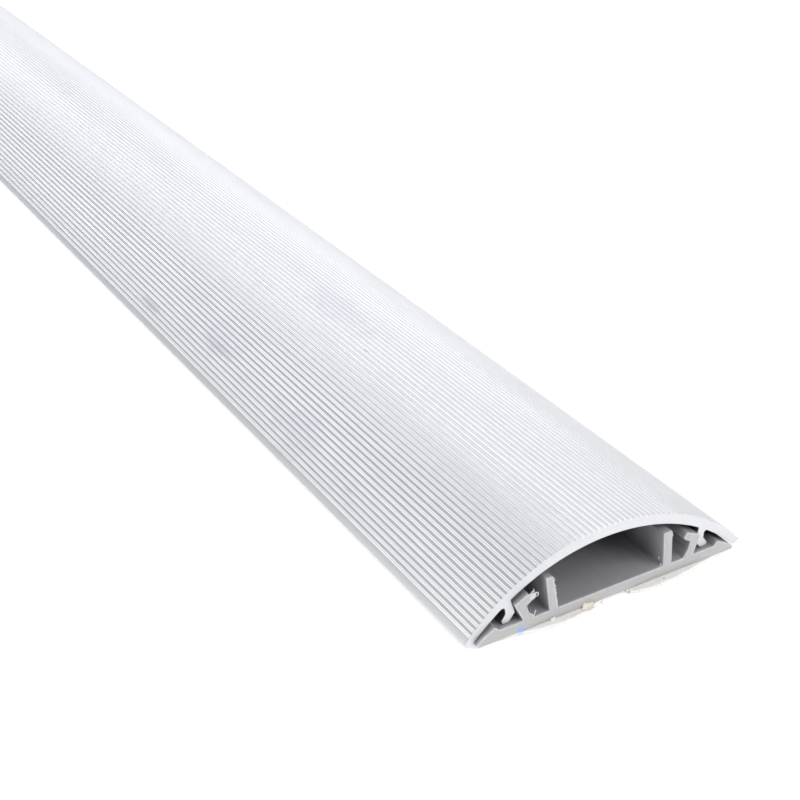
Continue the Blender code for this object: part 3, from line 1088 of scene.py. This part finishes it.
def plate(
    x: np.ndarray, y: np.ndarray, z: np.ndarray, half: np.ndarray | float, lean: float = 0.0
) -> Surface:
    """Return a plate round a grid of middle points.

    Its front stands half the thickness nearer along Y and a lean higher than the grid,
    and its back as much the other way.
    """
    surface = Surface()
    front = np.stack([x, y - half, z + lean], axis=-1)
    back = np.stack([x, y + half, z - lean], axis=-1)
    surface.add_slab(front, back)
    return surface


@dataclass
class SawBurrs:
    """What the saw left on the base's cut end: a torn lip, hairs, a fringe and crumbs.

    Places are x and z in the plane of the base's end, and depths run inwards from it.
    The hairs' curves and radii and the crumbs are in mm.
    """

    lip_box: tuple[float, ...] = (-21.35 * MM, -19.95 * MM, 8.6 * MM, 10.28 * MM)
    lip_tears: Pair = (0.12 * MM, 0.10 * MM)
    lip_fall: float = 0.25 * MM
    lip_wave: float = 0.03 * MM
    lip_half: float = 0.09 * MM
    eye_centre: Pair = (-19.6 * MM, 9.5 * MM)
    eye_radii: Pair = (0.31 * MM, 0.52 * MM)
    eye_thickness: float = 0.13 * MM
    eye_half_depth: float = 0.09 * MM
    eye_twist: float = 0.05 * MM
    hairs: tuple[tuple[tuple[Triple, ...], float], ...] = (
        (((-20.95, 0.0, 4.75), (-20.6, -0.2, 3.6), (-20.35, -0.1, 4.4), (-19.9, 0.0, 5.4)), 0.18),
        (((-22.2, 0.0, 7.2), (-22.0, -0.05, 6.0), (-21.7, -0.1, 5.2), (-20.9, 0.0, 4.6)), 0.1),
        (((-20.9, 0.1, 10.2), (-21.05, -0.2, 10.9), (-20.2, -0.2, 10.6), (-20.4, 0.0, 11.2)), 0.13),
        (((-20.5, 0.1, 10.2), (-20.2, -0.3, 10.6), (-20.5, -0.2, 10.9)), 0.09),
    )
    fringe_heights: Pair = (4.4 * MM, 12.0 * MM)
    fringe_reach: float = 0.42 * MM
    fringe_root: float = 0.28 * MM
    fringe_least: float = 0.04 * MM
    fringe_droop: float = 0.12 * MM
    fringe_depth: float = 0.04 * MM
    fringe_wave: float = 0.05 * MM
    fringe_half: float = 0.07 * MM
    wall_foot: Pair = (-14.0 * MM, 3.6 * MM)
    wall_top: Pair = (-15.2 * MM, 12.35 * MM)
    crumbs: tuple[tuple[Triple, Triple], ...] = (
        ((14.68, 1.7, 4.95), (0.10, 0.12, 0.42)),
        ((14.55, 0.75, 3.85), (0.26, 0.22, 0.20)),
        ((14.2, 0.6, 3.7), (0.18, 0.2, 0.12)),
    )

    def lip(self, end: float) -> Surface:
        """Return the lip's torn plate: a bulging grid between two rippled edges."""
        left, right, low, high = self.lip_box
        under_tear, over_tear = self.lip_tears
        share = np.linspace(0.0, 1.0, 24)
        x = left + (right - left) * share
        under = low - under_tear * ripple(x, 0.0, 0.5 * MM, 5) * share
        over = high + over_tear * ripple(x, 0.0, 0.6 * MM, 8) * share - self.lip_fall * share
        rise = np.linspace(0.0, 1.0, 9)[:, None]
        z = under + (over - under) * rise
        wide = np.broadcast_to(x, z.shape)
        half = self.lip_half * np.sqrt(1.0 - (2.0 * rise - 1.0) ** 2 * 0.8)
        return plate(wide, end + self.lip_wave * ripple(wide, z, 0.6 * MM, 3), z, half)

    def eye(self, end: float) -> np.ndarray:
        """Return the rings of the closed eye at the lip's tip.

        It is a tube whose middle line is an ellipse, with ripples on its size and width.
        """
        turns = np.arange(36) * TAU / 36
        outwards = np.stack([np.cos(turns), 0.0 * turns, np.sin(turns)], axis=-1)
        ragged = 1.0 + 0.16 * ripple(np.cos(turns) * MM, np.sin(turns) * MM, 1.2 * MM, 9)
        middle = np.stack([
            self.eye_centre[0] + self.eye_radii[0] * ragged * np.cos(turns),
            end - self.eye_twist * np.cos(turns),
            self.eye_centre[1] + self.eye_radii[1] * ragged * np.sin(turns),
        ], axis=-1)
        around = np.arange(8) * TAU / 8
        width = self.eye_thickness * (1.0 + 0.35 * ripple(turns * MM, 0.0, 1.5 * MM, 21))
        depth = np.array([0.0, self.eye_half_depth, 0.0]) * np.sin(around)[:, None]
        return middle[:, None] + outwards[:, None] * np.outer(width, np.cos(around))[..., None] + depth

    def curls(self, end: float) -> Surface:
        """Return the curled hairs: tapering tubes along Bezier curves."""
        surface = Surface()
        for controls, radius in self.hairs:
            path = bezier(controls, 22) * MM + np.array([0.0, end, 0.0])
            share = np.linspace(0.0, 1.0, len(path))
            size = radius * MM * (1.1 - 0.4 * share) * (1 + 0.15 * np.sin(9 * share))
            surface.add_rings(tube(path, size, 0.7 * size, 8))
        return surface

    def fringe(self, end: float) -> Surface:
        """Return the fringe of teeth on the left wall's inner edge.

        It is a thin strip whose free edge stands out by a power of a ripple's positive
        half, more so towards the top of the wall.
        """
        z = np.linspace(*self.fringe_heights, 150)
        share = (z - self.wall_foot[1]) / (self.wall_top[1] - self.wall_foot[1])
        edge = self.wall_foot[0] + (self.wall_top[0] - self.wall_foot[0]) * share
        teeth = np.clip(ripple(z, 0.0, 0.45 * MM, 31), 0.0, 1.5) ** 1.6 / 1.9
        gain = 0.35 + 0.65 * smooth_step(0.35, 0.6, share)
        reach = self.fringe_least + self.fringe_reach * teeth * gain
        across = np.linspace(0.0, 1.0, 6)[:, None]
        x = edge - self.fringe_root + (reach + self.fringe_root) * across
        z = np.broadcast_to(z, x.shape) - self.fringe_droop * across * teeth
        wave = self.fringe_wave * across * ripple(z, 0.0, 0.9 * MM, 13)
        return plate(x, end + self.fringe_depth + wave, z, self.fringe_half * (1.0 - 0.7 * across))

    def build(self) -> list[bpy.types.Object]:
        """Build the burrs at the base's sawn end.

        Returns:
            The torn lip, the hairs, the fringe and the crumbs.
        """
        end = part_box("base")[0].y
        torn = TORN_PLASTIC.material()
        lip = self.lip(end)
        lip.add_rings(self.eye(end), loop=True)
        surfaces = {
            "burr_lip": (lip, torn),
            "burr_hairs": (self.curls(end), torn),
            "burr_fringe": (self.fringe(end), torn),
            "burr_crumbs": (lumps(self.crumbs, end, 40), CHALKY_CRUMB.material()),
        }
        return [
            placed(surface.to_object(name, [finish], TORN_SHARP), Slot.BASE)
            for name, (surface, finish) in surfaces.items()
        ]


@dataclass
class TapeStrip:
    """One strip of double-sided tape under the base: sticky foam on its paper liner.

    The end was cut by hand: a straight line between the two corner values with a bulge
    on it, as in the CAD tape, and the tears and waves of each layer on top of that.
    """

    side: str
    edges: Pair
    corners: Pair
    bulge: float
    skew: float
    seed: int
    foam_heights: Pair = (0.21 * MM, 0.985 * MM)
    liner_heights: Pair = (0.04 * MM, 0.18 * MM)
    rim_rounding: Pair = (0.06 * MM, 0.12 * MM)
    columns: int = 150
    near_rows: tuple[float, ...] = (
        0.0, 0.04, 0.1, 0.2, 0.35, 0.55, 0.8, 1.1, 1.5, 2.0, 2.7, 3.6, 5.0, 8.0, 20.0,
    )
    far_rows: int = 24

    def reach(self, share: np.ndarray) -> np.ndarray:
        """Return how far the tape stands out of the base: a line plus a skewed half sine."""
        first, last = self.corners
        return first + (last - first) * share + self.bulge * np.sin(math.pi * share**self.skew)

    def layer(self, heights: Pair, setback: float, tear: float, wave: float, seed: int) -> Surface:
        """Return one layer of the tape.

        Its plan runs from the hand-cut end to the square far end. The end is drawn back by
        the setback plus a tear, and outside the base the whole layer rides up and down on
        a ripple that fades to nothing under the base.

        Args:
            heights: the layer's underside and top.
            setback: how far its end stays behind the cut line.
            tear: size of the ripple on its end, inwards only.
            wave: size of the ripple on its height.
            seed: seed of both ripples.

        Returns:
            The layer as one closed slab.
        """
        base_end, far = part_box("base")[0].y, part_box(f"tape_{self.side}")[1].y
        share = np.linspace(0.0, 1.0, self.columns)
        x = self.edges[0] + (self.edges[1] - self.edges[0]) * share
        torn = np.clip(0.6 + 0.5 * ripple(x, 0.0, 0.9 * MM, seed), 0.0, 1.6)
        start = base_end - self.reach(share) + setback + tear * torn
        near = np.array(self.near_rows) * MM / (far - base_end)
        rows = np.concatenate([near, np.linspace(near[-1], 1.0, self.far_rows + 1)[1:]])
        y = start + (far - start) * rows[:, None]
        wide = np.broadcast_to(x, y.shape)
        free = smooth_step(0.0, 0.8 * MM, base_end - y)
        low, high = heights
        lift = np.clip(free * wave * ripple(wide, y, 3.2 * MM, seed + 1), -wave, wave)
        drop, width = self.rim_rounding
        rounding = drop * (1.0 - smooth_step(0.0, width, y - start))
        top = np.stack([wide, y, high + lift - rounding], axis=-1)
        bottom = np.stack([wide, y, low + np.maximum(lift, -0.8 * low)], axis=-1)
        surface = Surface()
        surface.add_slab(top, bottom)
        return surface

    def build(self, foam: bpy.types.Material, liner: bpy.types.Material) -> list[bpy.types.Object]:
        """Build the strip's two layers.

        Args:
            foam: the sticky foam's finish.
            liner: the liner's finish.

        Returns:
            The foam and the liner.
        """
        node = f"tape_{self.side}"
        body = self.layer(self.foam_heights, 0.05 * MM, 0.1 * MM, 0.04 * MM, self.seed)
        paper = self.layer(self.liner_heights, 0.0, 0.06 * MM, 0.03 * MM, self.seed + 5)
        return [
            placed(body.to_object(f"{node}_foam", [foam]), Slot.TAPE, node),
            placed(paper.to_object(f"{node}_liner", [liner]), Slot.TAPE, node),
        ]


@dataclass
class TapeScraps:
    """Bits on the tape ends: a crumpled scrap, a white chip and small dark specks.

    The specks' places, inwards from the base's end, and radii are in mm.
    """

    scrap_width: Pair = (-7.9 * MM, -4.9 * MM)
    scrap_reach: float = 1.5 * MM
    scrap_heights: Pair = (1.03 * MM, 2.15 * MM)
    scrap_gap: float = 0.08 * MM
    scrap_half: float = 0.03 * MM
    scrap_lean: float = 0.04 * MM
    side_tear: float = 0.25 * MM
    end_tear: float = 0.2 * MM
    crumple: float = 0.012 * MM
    deepest_crumple: float = 0.02 * MM
    chip_box: tuple[float, ...] = (-16.2 * MM, -15.0 * MM, 0.95 * MM, 1.7 * MM)
    chip_skew: float = 0.1 * MM
    chip_tear: float = 0.08 * MM
    chip_out: float = 0.34 * MM
    chip_lean: float = 0.2 * MM
    chip_bow: float = 0.06 * MM
    chip_half: float = 0.05 * MM
    specks: tuple[tuple[Triple, Triple], ...] = (
        ((-2.75, -0.7, 0.82), (0.1, 0.42, 0.1)),
        ((4.95, -0.38, 0.62), (0.12, 0.10, 0.33)),
        ((14.26, -0.95, 1.02), (0.16, 0.16, 0.07)),
    )

    def crumpled(self, end: float) -> Surface:
        """Return the scrap that lies on the tape and leans on the base's end.

        Along its length it runs level over the tape and then bends up the base's end. Its
        sides are drawn in at both ends, ripples tear its rims, and a slight one crumples
        it.
        """
        along = np.linspace(0.0, 1.0, 40)[:, None]
        across = np.linspace(0.0, 1.0, 56)
        left, right = self.scrap_width
        low, high = self.scrap_heights
        pinch = 0.55 + 0.45 * np.sin(math.pi * np.clip(along * 1.1, 0.0, 1.0)) ** 0.7
        torn = (2.0 * np.abs(across - 0.5)) ** 3 * ripple(along * 4 * MM, 0.0, 1.3 * MM, 51)
        x = (left + right) / 2 + (across - 0.5) * (right - left) * pinch + self.side_tear * torn
        bend = smooth_step(0.45, 1.0, along)
        out = self.scrap_reach * (1.0 - np.clip(along / 0.75, 0.0, 1.0)) + self.scrap_gap
        ragged = self.end_tear * ripple(across * 5 * MM, 0.0, 1.0 * MM, 52)
        ragged = ragged * (2.0 * np.abs(along - 0.5)) ** 4
        fold = self.crumple * ripple(x, np.broadcast_to(along * 4 * MM, x.shape), 1.3 * MM, 53)
        z = low + (high - low) * bend + ragged * bend
        z = z + np.maximum(fold, -self.deepest_crumple) * (1.0 - bend)
        y = np.maximum(end - out - fold * bend - ragged * (1.0 - bend), end - self.scrap_reach)
        return plate(x, y, z, self.scrap_half, self.scrap_lean)

    def white_chip(self, end: float) -> Surface:
        """Return the chip: a bowed grid between three straight edges and a torn one."""
        left, right, low, high = self.chip_box
        across, up = np.meshgrid(np.linspace(0.0, 1.0, 14), np.linspace(0.0, 1.0, 10))
        x = left + (right - left) * across + self.chip_skew * up
        z = low + (high - low) * up + self.chip_tear * ripple(x, up * MM, 0.8 * MM, 61)
        y = end - self.chip_out + self.chip_lean * up - self.chip_bow * np.sin(math.pi * across)
        return plate(x, y, z, self.chip_half)

    def build(self, liner: bpy.types.Material) -> list[bpy.types.Object]:
        """Build the bits that lie on the tape.

        Args:
            liner: finish of the white chip, which is a bit of the liner.

        Returns:
            The scrap, the chip and the specks.
        """
        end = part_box("base")[0].y
        surfaces = {
            "tape_scrap": (self.crumpled(end), SpeckledScrap().material()),
            "liner_chip": (self.white_chip(end), liner),
            "tape_specks": (lumps(self.specks, end, 70), DARK_DIRT.material()),
        }
        return [
            placed(surface.to_object(name, [finish], TORN_SHARP), Slot.TAPE)
            for name, (surface, finish) in surfaces.items()
        ]


# Studio


@dataclass(frozen=True)
class Softbox:
    """A square area light that the camera doesn't see."""

    name: str
    centre: Triple
    aim: Triple
    size: float
    power: float
    colour: Colour = (1.0, 1.0, 1.0)

    def build(self) -> None:
        """Add the light, turned so that it faces its aim."""
        lamp = bpy.data.lights.new(self.name, "AREA")
        lamp.shape = "SQUARE"
        lamp.size = self.size
        lamp.energy = self.power
        lamp.color = self.colour
        box = bpy.data.objects.new(self.name, lamp)
        box.location = self.centre
        facing = Vector(self.aim) - Vector(self.centre)
        box.rotation_euler = facing.to_track_quat("-Z", "Y").to_euler()
        box.visible_camera = False
        bpy.context.scene.collection.objects.link(box)


@dataclass
class Studio:
    """A pale floor, soft light from all round and the camera of the photograph."""

    floor_half: float = 30.0
    floor_drop: float = 0.05 * MM
    floor_colour: Colour = (0.92, 0.92, 0.925)
    sky_colour: Colour = (0.97, 0.98, 1.0)
    floor_glow: float = 0.42
    sky_even: float = 0.124
    sky_lean: Triple = (0.0, 0.12, 0.0)
    softboxes: tuple[Softbox, ...] = (
        Softbox("overhead", (0.2, -0.9, 1.8), (0.0, -0.9, 0.0), 2.4, 14.4),
        Softbox("back_right", (1.3, 0.6, 1.0), (0.0, -0.9, 0.0), 1.6, 9.8, (0.96, 0.97, 1.0)),
        Softbox("back", (-0.2, 1.2, 1.1), (0.0, -0.9, 0.0), 1.8, 15.4, (0.96, 0.97, 1.0)),
        Softbox("back_left", (-1.3, 0.6, 1.3), (0.0, -0.9, 0.0), 1.6, 3.8),
        Softbox("left", (-2.0, -0.6, 0.9), (0.0, -0.9, 0.0), 1.6, 34.3),
        Softbox("front_right", (1.1, -2.4, 0.8), (0.0, -0.9, 0.0), 1.2, 18.9),
        Softbox("front_high", (0.0, -2.2, 1.7), (0.0, -0.9, 0.0), 1.2, 9.0),
    )
    lens: float = 72.56774942170667
    sensor: float = 36.0
    eye: Triple = (-175.94449079 * MM, -240.07197458 * MM, 216.9585025 * MM)
    turn_degrees: Triple = (60.94905234369165, 2.768343632108538, -29.269646861606365)

    def add_floor(self) -> None:
        """Add the floor: one flat square with a mottled pale finish that glows a little."""
        half = self.floor_half
        mesh = bpy.data.meshes.new("floor")
        corners = [(-half, -half), (half, -half), (half, half), (-half, half)]
        mesh.from_pydata([(x, y, -self.floor_drop) for x, y in corners], [], [(0, 1, 2, 3)])
        shade = Shade("pale_floor")
        mottle = shade.noise((0.4, 0.4, 0.4))
        darker = tuple(0.985 * value for value in self.floor_colour)
        colour = shade.blend(mottle, self.floor_colour, darker)
        glow = {"Emission_Color": (1.0, 1.0, 1.0, 1.0), "Emission_Strength": self.floor_glow}
        mesh.materials.append(shade.done(Base_Color=colour, Roughness=0.9, **glow))
        floor = bpy.data.objects.new("floor", mesh)
        bpy.context.scene.collection.objects.link(floor)

    def add_sky(self) -> None:
        """Light the scene from all round, a little more from the side it leans to.

        A direction's strength is the even part plus the direction's dot product with the
        lean.
        """
        world = bpy.data.worlds.new("studio_sky")
        world.use_nodes = True
        nodes, links = world.node_tree.nodes, world.node_tree.links
        along = nodes.new("ShaderNodeVectorMath")
        along.operation = "DOT_PRODUCT"
        links.new(nodes.new("ShaderNodeTexCoord").outputs["Generated"], along.inputs[0])
        along.inputs[1].default_value = self.sky_lean
        strength = nodes.new("ShaderNodeMath")
        links.new(along.outputs["Value"], strength.inputs[0])
        strength.inputs[1].default_value = self.sky_even
        backdrop = nodes["Background"]
        backdrop.inputs["Color"].default_value = (*self.sky_colour, 1.0)
        links.new(strength.outputs[0], backdrop.inputs["Strength"])
        bpy.context.scene.world = world

    def add_camera(self) -> None:
        """Put the camera where the photograph was taken from, off the cover's sawn end."""
        lens = bpy.data.cameras.new("photo_camera")
        lens.sensor_width = self.sensor
        lens.lens = self.lens
        lens.clip_start = 0.01
        lens.clip_end = 200.0
        camera = bpy.data.objects.new("photo_camera", lens)
        x, y, z = self.eye
        camera.location = (x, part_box("cover")[0].y + y, z)
        camera.rotation_euler = Euler([math.radians(turn) for turn in self.turn_degrees])
        bpy.context.scene.collection.objects.link(camera)
        bpy.context.scene.camera = camera

    def build(self) -> None:
        """Build the floor, the light and the camera, and show colours as they are."""
        self.add_floor()
        self.add_sky()
        for softbox in self.softboxes:
            softbox.build()
        self.add_camera()
        bpy.context.scene.view_settings.view_transform = "Standard"


def main() -> None:
    """Build the studio and then each sub-assembly, and report every piece."""
    logging.basicConfig(level=logging.INFO, format="%(name)s: %(message)s")
    Studio().build()
    foam, liner = TapeFoam().material(), LinerPaper().material()
    left_tape = TapeStrip(
        side="left",
        edges=(-30.0 * MM, -1.4 * MM),
        corners=(-1.0 * MM, -0.6 * MM),
        bulge=2.7 * MM,
        skew=1.3,
        seed=100,
    )
    right_tape = TapeStrip(
        side="right",
        edges=(4.6 * MM, 31.6 * MM),
        corners=(0.1 * MM, -0.4 * MM),
        bulge=2.1 * MM,
        skew=0.6,
        seed=200,
    )
    pieces = [
        *RidgedCover().build(),
        *ChannelBase().build(),
        *SawBurrs().build(),
        *left_tape.build(foam, liner),
        *right_tape.build(foam, liner),
        *TapeScraps().build(liner),
    ]
    for piece in pieces:
        LOG.info("%s has %d faces", piece.name, len(piece.data.polygons))


if __name__ == "__main__":
    main()
